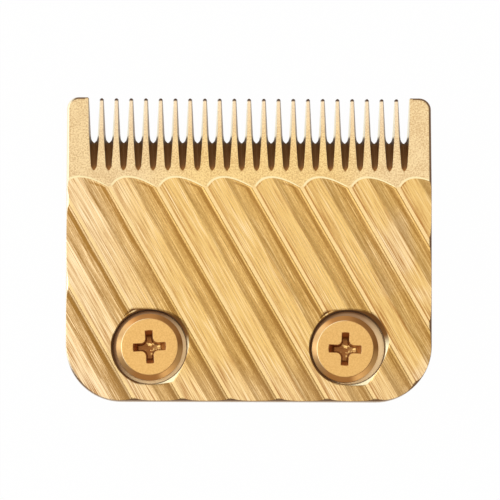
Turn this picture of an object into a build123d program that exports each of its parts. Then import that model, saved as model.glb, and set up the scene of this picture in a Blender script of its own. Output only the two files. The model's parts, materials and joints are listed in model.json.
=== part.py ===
from build123d import *
import os
from math import atan, ceil, floor, hypot, pi, radians, sqrt, tan

# Fixed blade of a hair clipper, with the two screws that hold it to the clipper's head.
# Millimetres. X runs across the blade, Y towards the tooth tips, Z out of the fluted face.
# The origin lies on the back face, midway between the two screw holes.

# Blade plate
BLADE_WIDTH = 45.0
BLADE_LENGTH = 37.7
BLADE_THICKNESS = 3.0
REAR_CORNER_RADIUS = 6.85
FRONT_CORNER_RADIUS = 1.45
FACE_EDGE_RADIUS = 0.42
BACK_EDGE_CHAMFER = 0.12
FRONT_WALL_LEAST_LAND = 0.03

# Bevel ground from the ridges down to the tooth tips
BEVEL_LENGTH = 11.4
TIP_THICKNESS = 0.5

# Gaps between the teeth; lengths run back from the tips of the end blocks
GAP_PITCH = 1.823
END_BLOCK_LEAST_WIDTH = 2.4
GAP_LENGTH_ON_FACE = 9.44
GAP_LENGTH_ON_BACK = 5.62
GAP_MOUTH_WIDTH = 1.36
GAP_PLAN_TAPER_DEG = 3.1
FLANK_DRAFT_DEG = 8.8

# Profile of the wheel that grinds the gaps, square to the gap's sloping floor
WHEEL_NOSE_WIDTH = 0.71
WHEEL_NOSE_HALF_ANGLE_DEG = 60.0
WHEEL_NOSE_FLAT = 0.12
WHEEL_SHOULDER_RADIUS = 0.3
WHEEL_FLANK_HALF_ANGLE_DEG = 10.3

# Free tooth tips, a little behind the end blocks
TOOTH_SETBACK = 0.13
TOOTH_TIP_EDGE_RADIUS = 0.25
TOOTH_CORNER_CHAMFER = 0.12

# Diagonal hollow flutes with a narrow flat ridge left between each two
FLUTE_PITCH = 5.148
FLUTE_DEPTH = 0.28
RIDGE_WIDTH = 0.3
FLUTE_ANGLE_DEG = 60.0
RIDGE_OFFSET = 0.61

# Hollow grind across the back, between the rear seat and the cutter rail under the teeth
SEAT_LENGTH = 13.0
RAIL_LENGTH = 11.5
HOLLOW_DEPTH = 0.35

# Screw holes
HOLE_SPACING = 24.35
HOLE_TO_REAR_EDGE = 6.65
COUNTERBORE_CHAMFER_DEPTH = 0.41
COUNTERBORE_CHAMFER_SLOPE_DEG = 30.0

# Screws, pan headed with a cross recess
THREAD_DIAMETER = 4.0
NECK_DIAMETER = 3.5
SCREW_LENGTH = 6.0
SCREW_END_CHAMFER = 0.4
HEAD_DIAMETER = 8.2
HEAD_FLAT_DIAMETER = 6.9
HEAD_HEIGHT = 1.65
HEAD_RIM_HEIGHT = 1.27
HEAD_RIM_BULGE = 0.02
RECESS_SPAN = 4.07
RECESS_ARM_WIDTH = 0.95
RECESS_DEPTH = 1.4
RECESS_CORNER_RADIUS = 0.6
RECESS_DRAFT_DEG = 8.0
RECESS_CONE_HALF_ANGLE_DEG = 26.5

# Clearances, radial round the screw
HEAD_CLEARANCE = 0.45
HOLE_CLEARANCE = 0.5
HEAD_BELOW_FACE = 0.1
THREAD_BELOW_BACK = 0.3

# How the two loose screws lie in their holes: shift from the hole's axis and turn
LEFT_SCREW_SHIFT = (-0.03, -0.02)
LEFT_SCREW_TURN_DEG = 3.0
RIGHT_SCREW_SHIFT = (-0.33, -0.21)
RIGHT_SCREW_TURN_DEG = -2.0

# Amount by which every cutting tool runs past the surface that it cuts
TOOL_OVERRUN = 1.0

# Least upward part of the normal on a face that counts as facing up
FACING_UP = 0.5

# Worked out from the sizes above
REAR_Y = -HOLE_TO_REAR_EDGE
TIP_Y = REAR_Y + BLADE_LENGTH
CREST_Y = TIP_Y - BEVEL_LENGTH
TOOTH_TIP_Y = TIP_Y - TOOTH_SETBACK
BEVEL_SLOPE = (BLADE_THICKNESS - TIP_THICKNESS) / BEVEL_LENGTH
FRONT_EDGE_HALF_ANGLE = (pi / 2 + atan(BEVEL_SLOPE)) / 2
FRONT_WALL_HEIGHT = TIP_THICKNESS - BACK_EDGE_CHAMFER - FRONT_WALL_LEAST_LAND
EDGE_RADIUS = min(FACE_EDGE_RADIUS, FRONT_WALL_HEIGHT * tan(FRONT_EDGE_HALF_ANGLE))
COUNTERBORE_DIAMETER = HEAD_DIAMETER + 2 * HEAD_CLEARANCE
COUNTERBORE_FLOOR_Z = BLADE_THICKNESS - HEAD_HEIGHT - HEAD_BELOW_FACE
HOLE_DIAMETER = THREAD_DIAMETER + 2 * HOLE_CLEARANCE
TOOTHED_WIDTH = BLADE_WIDTH - 2 * END_BLOCK_LEAST_WIDTH - GAP_MOUTH_WIDTH
GAP_COUNT = 1 + floor(TOOTHED_WIDTH / GAP_PITCH)
FIRST_GAP_X = -GAP_PITCH * (GAP_COUNT - 1) / 2
BLADE_REACH = BLADE_WIDTH + BLADE_LENGTH


def face_height(y):
    """Height of the unfluted face at y: level behind the crest, falling along the bevel in front of it."""
    return BLADE_THICKNESS - max(0.0, y - CREST_Y) * BEVEL_SLOPE


def plate_outline():
    """Plan of the plate: a rectangle with large rear corners and small front corners."""
    middle = Pos(0, REAR_Y + BLADE_LENGTH / 2)
    plan = middle * Rectangle(BLADE_WIDTH, BLADE_LENGTH)
    rear_corners = plan.vertices().group_by(Axis.Y)[0]
    plan = fillet(rear_corners, REAR_CORNER_RADIUS)
    front_corners = plan.vertices().group_by(Axis.Y)[-1]
    return fillet(front_corners, FRONT_CORNER_RADIUS)


def bevel_tool():
    """Wedge of metal that the bevel grind takes off, from the crest to past the tips."""
    front_y = TIP_Y + TOOL_OVERRUN
    front_z = BLADE_THICKNESS - (front_y - CREST_Y) * BEVEL_SLOPE
    section = Polygon(
        (CREST_Y, BLADE_THICKNESS),
        (front_y, front_z),
        (front_y, BLADE_THICKNESS + TOOL_OVERRUN),
        (CREST_Y, BLADE_THICKNESS + TOOL_OVERRUN),
        align=None,
    )
    return extrude(Plane.YZ * section, BLADE_WIDTH, both=True)


def plate_blank():
    """Plate with its bevel, rounded face edges and broken back edges, before any gap or flute is ground."""
    blank = extrude(plate_outline(), BLADE_THICKNESS) - bevel_tool()
    face_edges = [
        edge
        for face in blank.faces().filter_by(lambda f: f.normal_at().Z > FACING_UP)
        for edge in face.edges()
    ]
    outline_edges = [edge for edge in face_edges if sum(edge == other for other in face_edges) == 1]
    blank = fillet(outline_edges, EDGE_RADIUS)
    back = blank.faces().sort_by(Axis.Z)[0]
    return chamfer(back.edges(), BACK_EDGE_CHAMFER)


def hollow_tool():
    """Wheel that grinds the shallow hollow across the back."""
    span = BLADE_LENGTH - SEAT_LENGTH - RAIL_LENGTH
    radius = (span**2 / 4 + HOLLOW_DEPTH**2) / (2 * HOLLOW_DEPTH)
    middle = Pos(0, REAR_Y + SEAT_LENGTH + span / 2, HOLLOW_DEPTH - radius)
    return middle * Cylinder(radius, 2 * BLADE_WIDTH, rotation=(0, 90, 0))


def screw_hole_tool():
    """Clearance hole, counterbore and rim chamfer of one screw hole, on its own axis."""
    above = BLADE_THICKNESS + TOOL_OVERRUN
    upright = (Align.CENTER, Align.CENTER, Align.MIN)
    hole = Pos(0, 0, -TOOL_OVERRUN) * Cylinder(HOLE_DIAMETER / 2, above + TOOL_OVERRUN, align=upright)
    bore_radius = COUNTERBORE_DIAMETER / 2
    bore = Pos(0, 0, COUNTERBORE_FLOOR_Z) * Cylinder(bore_radius, above - COUNTERBORE_FLOOR_Z, align=upright)
    cone_height = COUNTERBORE_CHAMFER_DEPTH + TOOL_OVERRUN
    cone_radius = bore_radius + cone_height / tan(radians(COUNTERBORE_CHAMFER_SLOPE_DEG))
    cone = Cone(bore_radius, cone_radius, cone_height, align=upright)
    return hole + bore + Pos(0, 0, BLADE_THICKNESS - COUNTERBORE_CHAMFER_DEPTH) * cone


def flute_tools():
    """Shallow round-bottomed tools, side by side, that grind the flutes and leave the ridges."""
    half_chord = (FLUTE_PITCH - RIDGE_WIDTH) / 2
    above = BLADE_THICKNESS + TOOL_OVERRUN
    bottom = ThreePointArc(
        (-half_chord, BLADE_THICKNESS), (0, BLADE_THICKNESS - FLUTE_DEPTH), (half_chord, BLADE_THICKNESS)
    )
    sides = Polyline(
        (half_chord, BLADE_THICKNESS),
        (half_chord, above),
        (-half_chord, above),
        (-half_chord, BLADE_THICKNESS),
    )
    profile = make_face(bottom + sides)
    along = Vector(1, 0, 0).rotate(Axis.Z, -FLUTE_ANGLE_DEG)
    across = along.rotate(Axis.Z, 90)
    start = Vector(RIDGE_OFFSET, CREST_Y, 0)
    corners = [Vector(x, y, 0) for x in (-BLADE_WIDTH / 2, BLADE_WIDTH / 2) for y in (REAR_Y, TIP_Y)]
    reaches = [(corner - start).dot(across) / FLUTE_PITCH for corner in corners]
    tools = []
    for index in range(floor(min(reaches)), ceil(max(reaches))):
        origin = start + across * FLUTE_PITCH * (index + 0.5)
        section = Plane(origin=origin, x_dir=across, z_dir=along)
        tools.append(extrude(section * profile, 2 * BLADE_REACH, both=True))
    return tools


def gap_tool():
    """One gap between two teeth, at x = 0: a blunt V ground down a slope, held in by the tooth flanks."""
    face_y = TIP_Y - GAP_LENGTH_ON_FACE
    face_z = face_height(face_y)
    run = GAP_LENGTH_ON_FACE - GAP_LENGTH_ON_BACK
    up_the_slope = (0, -run, face_z)
    nose_half = WHEEL_NOSE_WIDTH / 2
    nose_depth = (nose_half - WHEEL_NOSE_FLAT / 2) / tan(radians(WHEEL_NOSE_HALF_ANGLE_DEG))
    wheel_depth = hypot(GAP_LENGTH_ON_FACE, BLADE_THICKNESS)
    wheel_half = nose_half + wheel_depth * tan(radians(WHEEL_FLANK_HALF_ANGLE_DEG))
    flat_half = WHEEL_NOSE_FLAT / 2
    profile = Polygon(
        (-flat_half, 0),
        (flat_half, 0),
        (nose_half, nose_depth),
        (wheel_half, nose_depth + wheel_depth),
        (-wheel_half, nose_depth + wheel_depth),
        (-nose_half, nose_depth),
        align=None,
    )
    shoulders = profile.vertices().sort_by_distance((0, 0))[2:4]
    profile = fillet(shoulders, WHEEL_SHOULDER_RADIUS)
    slope = Plane(origin=(0, face_y, face_z), x_dir=(1, 0, 0), z_dir=up_the_slope)
    groove = extrude(slope * profile, BLADE_LENGTH, both=True)
    plan_lean = tan(radians(GAP_PLAN_TAPER_DEG))
    upright_lean = tan(radians(FLANK_DRAFT_DEG))
    for side in (-1, 1):
        flank = Plane(origin=(side * GAP_MOUTH_WIDTH / 2, TIP_Y, 0), z_dir=(side, -plan_lean, -upright_lean))
        groove = split(groove, bisect_by=flank, keep=Keep.BOTTOM)
    return groove


def corner_tool(side, tip_y):
    """Breaks the upright corner of one tooth beside a gap at x = 0, on the given side, at the given tip."""
    middle_width = GAP_MOUTH_WIDTH + TIP_THICKNESS * tan(radians(FLANK_DRAFT_DEG))
    square_side = TOOTH_CORNER_CHAMFER * sqrt(2)
    square = Pos(side * middle_width / 2, tip_y) * Rot(0, 0, 45) * Rectangle(square_side, square_side)
    return Pos(0, 0, -TOOL_OVERRUN) * extrude(square, BLADE_THICKNESS + TOOL_OVERRUN)


def tooth_tip_tool():
    """Takes the free teeth back from the end blocks and rounds their tips over."""
    top_z = face_height(TOOTH_TIP_Y)
    above = top_z + TOOL_OVERRUN
    front_y = TOOTH_TIP_Y + TOOL_OVERRUN
    back_y = TOOTH_TIP_Y - BEVEL_LENGTH / 2
    kept = Polygon(
        (back_y, -TOOL_OVERRUN),
        (TOOTH_TIP_Y, -TOOL_OVERRUN),
        (TOOTH_TIP_Y, top_z),
        (back_y, face_height(back_y)),
        align=None,
    )
    top_corner = kept.vertices().sort_by_distance((TOOTH_TIP_Y, top_z))[0]
    kept = fillet(top_corner, TOOTH_TIP_EDGE_RADIUS)
    removed = Polygon(
        (TOOTH_TIP_Y - TOOTH_TIP_EDGE_RADIUS, -TOOL_OVERRUN / 2),
        (front_y, -TOOL_OVERRUN / 2),
        (front_y, above),
        (TOOTH_TIP_Y - TOOTH_TIP_EDGE_RADIUS, above),
        align=None,
    )
    return extrude(Plane.YZ * (removed - kept), -FIRST_GAP_X, both=True)


def tooth_tools():
    """Every tool that shapes the teeth: the gaps, the rounded tips and the broken corners."""
    gap = gap_tool()
    tools = [tooth_tip_tool()]
    for index in range(GAP_COUNT):
        place = Pos(FIRST_GAP_X + index * GAP_PITCH, 0, 0)
        tools.append(place * gap)
        for side, end in ((-1, 0), (1, GAP_COUNT - 1)):
            tip_y = TIP_Y if index == end else TOOTH_TIP_Y
            tools.append(place * corner_tool(side, tip_y))
    return tools


def fixed_blade():
    """The finished blade, one piece of steel."""
    hole = screw_hole_tool()
    holes = [Pos(side * HOLE_SPACING / 2, 0, 0) * hole for side in (-1, 1)]
    blade = plate_blank() - hollow_tool()
    blade -= holes
    blade -= flute_tools()
    blade -= tooth_tools()
    return blade


def cross_recess():
    """Cross recess for the driver, cut down from z = 0: tapered arms whose ends lie on a cone."""
    arm = Rectangle(RECESS_SPAN, RECESS_ARM_WIDTH)
    cross = arm + Rot(0, 0, 90) * arm
    inner_corners = cross.vertices().group_by(lambda v: round(hypot(v.X, v.Y), 4))[0]
    cross = fillet(inner_corners, RECESS_CORNER_RADIUS)
    arms = extrude(cross, RECESS_DEPTH, dir=(0, 0, -1), taper=RECESS_DRAFT_DEG)
    floor_radius = RECESS_SPAN / 2 - RECESS_DEPTH * tan(radians(RECESS_CONE_HALF_ANGLE_DEG))
    cone = Cone(floor_radius, RECESS_SPAN / 2, RECESS_DEPTH, align=(Align.CENTER, Align.CENTER, Align.MAX))
    return arms & cone


def screw():
    """One screw, its head's underside at z = 0 and its shank pointing down."""
    neck_end = -(COUNTERBORE_FLOOR_Z + THREAD_BELOW_BACK)
    thread_radius = THREAD_DIAMETER / 2
    end_radius = thread_radius - SCREW_END_CHAMFER
    run_out = thread_radius - NECK_DIAMETER / 2
    rim_low = (HEAD_DIAMETER / 2, HEAD_RIM_HEIGHT)
    rim_high = (HEAD_FLAT_DIAMETER / 2, HEAD_HEIGHT)
    rim_middle = tuple((low + high) / 2 + HEAD_RIM_BULGE for low, high in zip(rim_low, rim_high))
    with BuildLine(Plane.XZ) as outline:
        Polyline(
            (0, HEAD_HEIGHT),
            (0, -SCREW_LENGTH),
            (end_radius, -SCREW_LENGTH),
            (thread_radius, -SCREW_LENGTH + SCREW_END_CHAMFER),
            (thread_radius, neck_end),
            (NECK_DIAMETER / 2, neck_end + run_out),
            (NECK_DIAMETER / 2, 0),
            (HEAD_DIAMETER / 2, 0),
            rim_low,
        )
        ThreePointArc(rim_low, rim_middle, rim_high)
        Line(rim_high, (0, HEAD_HEIGHT))
    body = revolve(make_face(outline.line), Axis.Z)
    return body - Pos(0, 0, HEAD_HEIGHT) * cross_recess()


def blade_screws():
    """The two screws, resting on the floors of their counterbores."""
    loose = ((-1, LEFT_SCREW_SHIFT, LEFT_SCREW_TURN_DEG), (1, RIGHT_SCREW_SHIFT, RIGHT_SCREW_TURN_DEG))
    one = screw()
    placed = [
        Pos(side * HOLE_SPACING / 2 + shift[0], shift[1], COUNTERBORE_FLOOR_Z) * Rot(0, 0, turn) * one
        for side, shift, turn in loose
    ]
    return Compound(children=placed)


os.makedirs("parts", exist_ok=True)
export_step(fixed_blade(), "parts/fixed_blade.step")
export_step(blade_screws(), "parts/blade_screws.step")
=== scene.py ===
"""Studio picture of the fixed blade of a hair clipper, gold coated, with its two screws.

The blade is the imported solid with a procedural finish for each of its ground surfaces. The screws are built
here with their threads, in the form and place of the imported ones. Their sizes and those of the finishes are
in millimetres, and meshes are scaled to metres when they are made. The studio's are in metres.
"""

import json
import logging
import math
from dataclasses import dataclass, fields
from enum import Enum
from types import MappingProxyType
from typing import Any, Iterable, Mapping, Sequence, Union

import bpy
from mathutils import Matrix, Vector

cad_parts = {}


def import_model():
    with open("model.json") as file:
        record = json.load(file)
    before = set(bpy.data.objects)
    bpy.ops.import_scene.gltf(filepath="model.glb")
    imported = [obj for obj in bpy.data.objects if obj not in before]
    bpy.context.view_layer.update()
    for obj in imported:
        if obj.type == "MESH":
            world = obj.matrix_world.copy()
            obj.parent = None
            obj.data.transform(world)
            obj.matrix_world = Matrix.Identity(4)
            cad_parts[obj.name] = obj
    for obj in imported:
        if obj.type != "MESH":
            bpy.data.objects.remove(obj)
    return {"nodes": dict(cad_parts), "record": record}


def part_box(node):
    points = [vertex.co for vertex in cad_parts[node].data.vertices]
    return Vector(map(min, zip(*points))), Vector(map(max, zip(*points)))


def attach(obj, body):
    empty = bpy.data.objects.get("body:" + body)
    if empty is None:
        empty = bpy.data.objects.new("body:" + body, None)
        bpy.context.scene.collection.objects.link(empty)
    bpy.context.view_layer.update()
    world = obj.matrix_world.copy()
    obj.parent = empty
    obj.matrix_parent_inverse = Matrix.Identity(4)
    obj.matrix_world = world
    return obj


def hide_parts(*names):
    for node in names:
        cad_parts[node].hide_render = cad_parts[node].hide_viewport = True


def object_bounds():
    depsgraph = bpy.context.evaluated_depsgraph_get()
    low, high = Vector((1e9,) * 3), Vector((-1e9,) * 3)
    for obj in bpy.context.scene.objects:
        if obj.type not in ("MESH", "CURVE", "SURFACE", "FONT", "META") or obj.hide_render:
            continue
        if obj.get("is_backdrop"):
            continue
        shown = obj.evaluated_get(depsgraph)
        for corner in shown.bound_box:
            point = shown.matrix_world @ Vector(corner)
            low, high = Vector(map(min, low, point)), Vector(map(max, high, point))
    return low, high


LOG = logging.getLogger("clipper_blade")
# One millimetre, in metres
MM = 0.001
BODY = "root"

Point = tuple[float, float, float]
Rgb = tuple[float, float, float]
# Start and end of a smooth step, or the two levels that it joins
Span = tuple[float, float]
# Where a smooth band starts, is full, starts to fall and ends
Band = tuple[float, float, float, float]


@dataclass(frozen=True)
class Wire:
    """An output socket of a shader graph, to be linked to an input."""

    graph: "Graph"
    socket: bpy.types.NodeSocket


class Value(Wire):
    """A number that varies over a surface: Python operators on it add Math nodes."""

    def _math(self, operation: str, *operands: "Number") -> "Value":
        """Adds one Math node, with its operands in the node's order."""
        node = self.graph.node("ShaderNodeMath", dict(enumerate(operands)), operation=operation)
        return self.graph.value(node)

    def __add__(self, other: "Number") -> "Value":
        """Sum."""
        return self._math("ADD", self, other)

    def __radd__(self, other: float) -> "Value":
        """Sum with a plain number on the left."""
        return self._math("ADD", other, self)

    def __sub__(self, other: "Number") -> "Value":
        """Difference."""
        return self._math("SUBTRACT", self, other)

    def __rsub__(self, other: float) -> "Value":
        """Difference from a plain number."""
        return self._math("SUBTRACT", other, self)

    def __mul__(self, other: "Number") -> "Value":
        """Product."""
        return self._math("MULTIPLY", self, other)

    def __rmul__(self, other: float) -> "Value":
        """Product with a plain number on the left."""
        return self._math("MULTIPLY", other, self)

    def __truediv__(self, other: "Number") -> "Value":
        """Quotient."""
        return self._math("DIVIDE", self, other)

    def __rtruediv__(self, other: float) -> "Value":
        """Quotient of a plain number."""
        return self._math("DIVIDE", other, self)

    def __abs__(self) -> "Value":
        """Size without its sign."""
        return self._math("ABSOLUTE", self)

    def floor(self) -> "Value":
        """Whole number below."""
        return self._math("FLOOR", self)

    def root(self) -> "Value":
        """Square root."""
        return self._math("SQRT", self)

    def least(self, other: "Number") -> "Value":
        """Smaller of two."""
        return self._math("MINIMUM", self, other)

    def most(self, other: "Number") -> "Value":
        """Larger of two."""
        return self._math("MAXIMUM", self, other)

    def ease(self, span: Span, levels: Span) -> "Value":
        """Smooth step between two levels.

        Args:
            span: Where the step starts and ends.
            levels: The levels before and after it.

        Returns:
            The level.
        """
        inputs = dict(enumerate((self, *span, *levels)))
        node = self.graph.node("ShaderNodeMapRange", inputs, interpolation_type="SMOOTHSTEP")
        return self.graph.value(node)

    def rise(self, low: float, high: float) -> "Value":
        """Smooth step from 0 to 1."""
        return self.ease((low, high), (0.0, 1.0))

    def fall(self, low: float, high: float) -> "Value":
        """Smooth step from 1 to 0."""
        return 1.0 - self.rise(low, high)

    def band(self, start: float, full: float, drop: float, end: float) -> "Value":
        """Smooth band of 1 with 0 on both sides."""
        return self.rise(start, full) * self.fall(drop, end)

    def held(self) -> "Value":
        """The value kept between 0 and 1."""
        return self.most(0.0).least(1.0)


Number = Union[float, Value]
Tint = Union[Rgb, Wire]
Inputs = Mapping[Union[str, int], Any]


class Graph:
    """The node tree of one material or world."""

    def __init__(self, owner: Union[bpy.types.Material, bpy.types.World]) -> None:
        """Empties the tree.

        Args:
            owner: What the nodes belong to.
        """
        owner.use_nodes = True
        self.tree = owner.node_tree
        self.tree.nodes.clear()

    def node(self, kind: str, inputs: Inputs = MappingProxyType({}), **settings: Any) -> bpy.types.Node:
        """Adds any node.

        Args:
            kind: Blender's type name of the node.
            inputs: Value or wire of each socket, by its name or number.
            settings: Properties, set before the sockets.

        Returns:
            The new node.
        """
        made = self.tree.nodes.new(kind)
        for name, setting in settings.items():
            setattr(made, name, setting)
        for key, given in inputs.items():
            socket = made.inputs[key]
            if isinstance(given, Wire):
                self.tree.links.new(given.socket, socket)
            elif socket.type == "RGBA":
                socket.default_value = (*given, 1.0)
            else:
                socket.default_value = given
        return made

    def wire(self, node: bpy.types.Node, output: Union[str, int] = 0) -> Wire:
        """One output of a node as a wire."""
        return Wire(self, node.outputs[output])

    def value(self, node: bpy.types.Node, output: Union[str, int] = 0) -> Value:
        """One output of a node as a number."""
        return Value(self, node.outputs[output])

    def blend(self, share: Number, first: Tint, second: Tint) -> Wire:
        """Mixes two colours.

        Args:
            share: 0 gives the first colour, 1 the second.
            first: Colour at 0.
            second: Colour at 1.

        Returns:
            The mixed colour.
        """
        inputs = {0: share, 6: first, 7: second}
        mixed = self.node("ShaderNodeMix", inputs, data_type="RGBA", clamp_factor=True)
        return self.wire(mixed, 2)

    def layers(self, base: Tint, *coats: tuple[Number, Tint]) -> Tint:
        """Lays colours over one another.

        Args:
            base: Colour at the bottom.
            coats: Share and colour of each coat, from the bottom up.

        Returns:
            The colour on top.
        """
        for share, tint in coats:
            base = self.blend(share, base, tint)
        return base

    def bend(self, share: Number, first: Wire, second: Wire) -> Wire:
        """Turns one direction towards another, by a share from 0 to 1."""
        mixed = self.node("ShaderNodeMix", {0: share, 4: first, 5: second}, data_type="VECTOR")
        return self.wire(mixed, 1)

    def parts(self, vector: Wire) -> tuple[Value, Value, Value]:
        """The x, y and z parts of a vector."""
        split = self.node("ShaderNodeSeparateXYZ", {0: vector})
        return self.value(split, 0), self.value(split, 1), self.value(split, 2)

    def place_mm(self) -> tuple[Value, Value, Value]:
        """The shaded point in its object's own frame.

        Returns:
            Its x, y and z in millimetres.
        """
        inputs = {0: self.wire(self.node("ShaderNodeTexCoord"), "Object"), "Scale": 1.0 / MM}
        scaled = self.node("ShaderNodeVectorMath", inputs, operation="SCALE")
        return self.parts(self.wire(scaled))

    def lean(self) -> tuple[Value, Value, Value]:
        """The x, y and z parts of the surface's normal, in its object's own frame."""
        return self.parts(self.wire(self.node("ShaderNodeTexCoord"), "Normal"))

    def grain(self, x: Number, y: Number, z: Number, detail: float = 2.0, roughness: float = 0.5) -> Value:
        """Noise that runs from 0 to 1, about one wave for each unit of its coordinates.

        Args:
            x: First coordinate, in grains.
            y: Second coordinate, in grains.
            z: Third coordinate, in grains.
            detail: Number of finer layers.
            roughness: Strength of the finer layers.

        Returns:
            The noise.
        """
        point = self.node("ShaderNodeCombineXYZ", {0: x, 1: y, 2: z})
        inputs = {"Vector": self.wire(point), "Scale": 1.0, "Detail": detail, "Roughness": roughness}
        return self.value(self.node("ShaderNodeTexNoise", inputs, noise_dimensions="3D"))

    def principled(self, inputs: Inputs) -> None:
        """Ends a material in one Principled shader."""
        shader = self.node("ShaderNodeBsdfPrincipled", inputs)
        self.node("ShaderNodeOutputMaterial", {"Surface": self.wire(shader)})


@dataclass(frozen=True)
class BladeForm:
    """Sizes of the ground blade that its finishes follow, in millimetres and degrees.

    The ridge offset and the flute drift place the finish of the flutes, to within 0.1 mm of the ground ones.
    """

    thickness: float
    tip_y: float
    hole_spacing: float
    bevel_length: float = 11.4
    tip_thickness: float = 0.5
    gap_length: float = 9.44
    gap_length_on_back: float = 5.62
    toothed_half_width: float = 20.2
    end_gap_inset: float = 0.8
    tooth_setback: float = 0.13
    flute_pitch: float = 5.148
    flute_depth: float = 0.28
    ridge_width: float = 0.3
    flute_angle_deg: float = 60.0
    ridge_offset: float = 0.58
    flute_drift: float = 0.0043
    bore_radius: float = 4.55
    chamfer_width: float = 0.71

    @property
    def crest_y(self) -> float:
        """Where the bevel starts."""
        return self.tip_y - self.bevel_length

    @property
    def bevel_slope(self) -> float:
        """Fall of the bevel for each millimetre towards the tips."""
        return (self.thickness - self.tip_thickness) / self.bevel_length

    @property
    def flute_radius(self) -> float:
        """Radius of the wheel that ground the flutes."""
        half_chord = (self.flute_pitch - self.ridge_width) / 2
        return (half_chord**2 + self.flute_depth**2) / (2 * self.flute_depth)


@dataclass(frozen=True)
class MaskSpans:
    """Where the masks of the blade's surfaces start and end, in millimetres.

    A lean is one part of the surface's normal. An east, a north or a bearing is one of the direction from the
    middle of a hole.
    """

    soft_edge: float = 0.1
    bevel_start: Span = (0.0, 0.4)
    flute_edge: Span = (0.0, 0.02)
    off_face: Span = (0.05, 0.1)
    worn_rim: Span = (0.2, 0.3)
    worn_rim_east: Span = (-0.55, -0.2)
    worn_rim_north: Span = (0.6, 0.8)
    crescent: Band = (0.16, 0.22, 0.32, 0.4)
    crescent_bearing: Span = (1.22, 1.34)
    bore_rim: Span = (-0.02, 0.04)
    bore_corner_at: float = 0.02
    bore_corner: Span = (0.04, 0.1)
    bore_wall: Span = (-0.4, -0.1)
    low_right_bearing: Span = (-0.75, 1.1)
    bright_rim: Span = (0.07, 0.14)
    bright_rim_bearing: Span = (0.6, 1.05)
    gap: Span = (-0.2, 0.0)
    gap_end: Span = (0.1, 1.0)
    gap_lean: Span = (-0.6, -0.3)
    upright_lean: Span = (0.3, 0.7)
    horn: Span = (-0.4, 0.0)
    flank: Span = (0.35, 0.9)
    right_flank_lean: Span = (-0.3, 0.3)
    tooth_start: float = 2.0
    tip: Span = (-0.4, -0.24)
    edge_lean: Band = (0.0, 0.2, 0.86, 0.95)
    left_edge_lean: Span = (-0.5, -0.1)
    rear_edge_lean: Span = (-0.5, -0.2)


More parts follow.
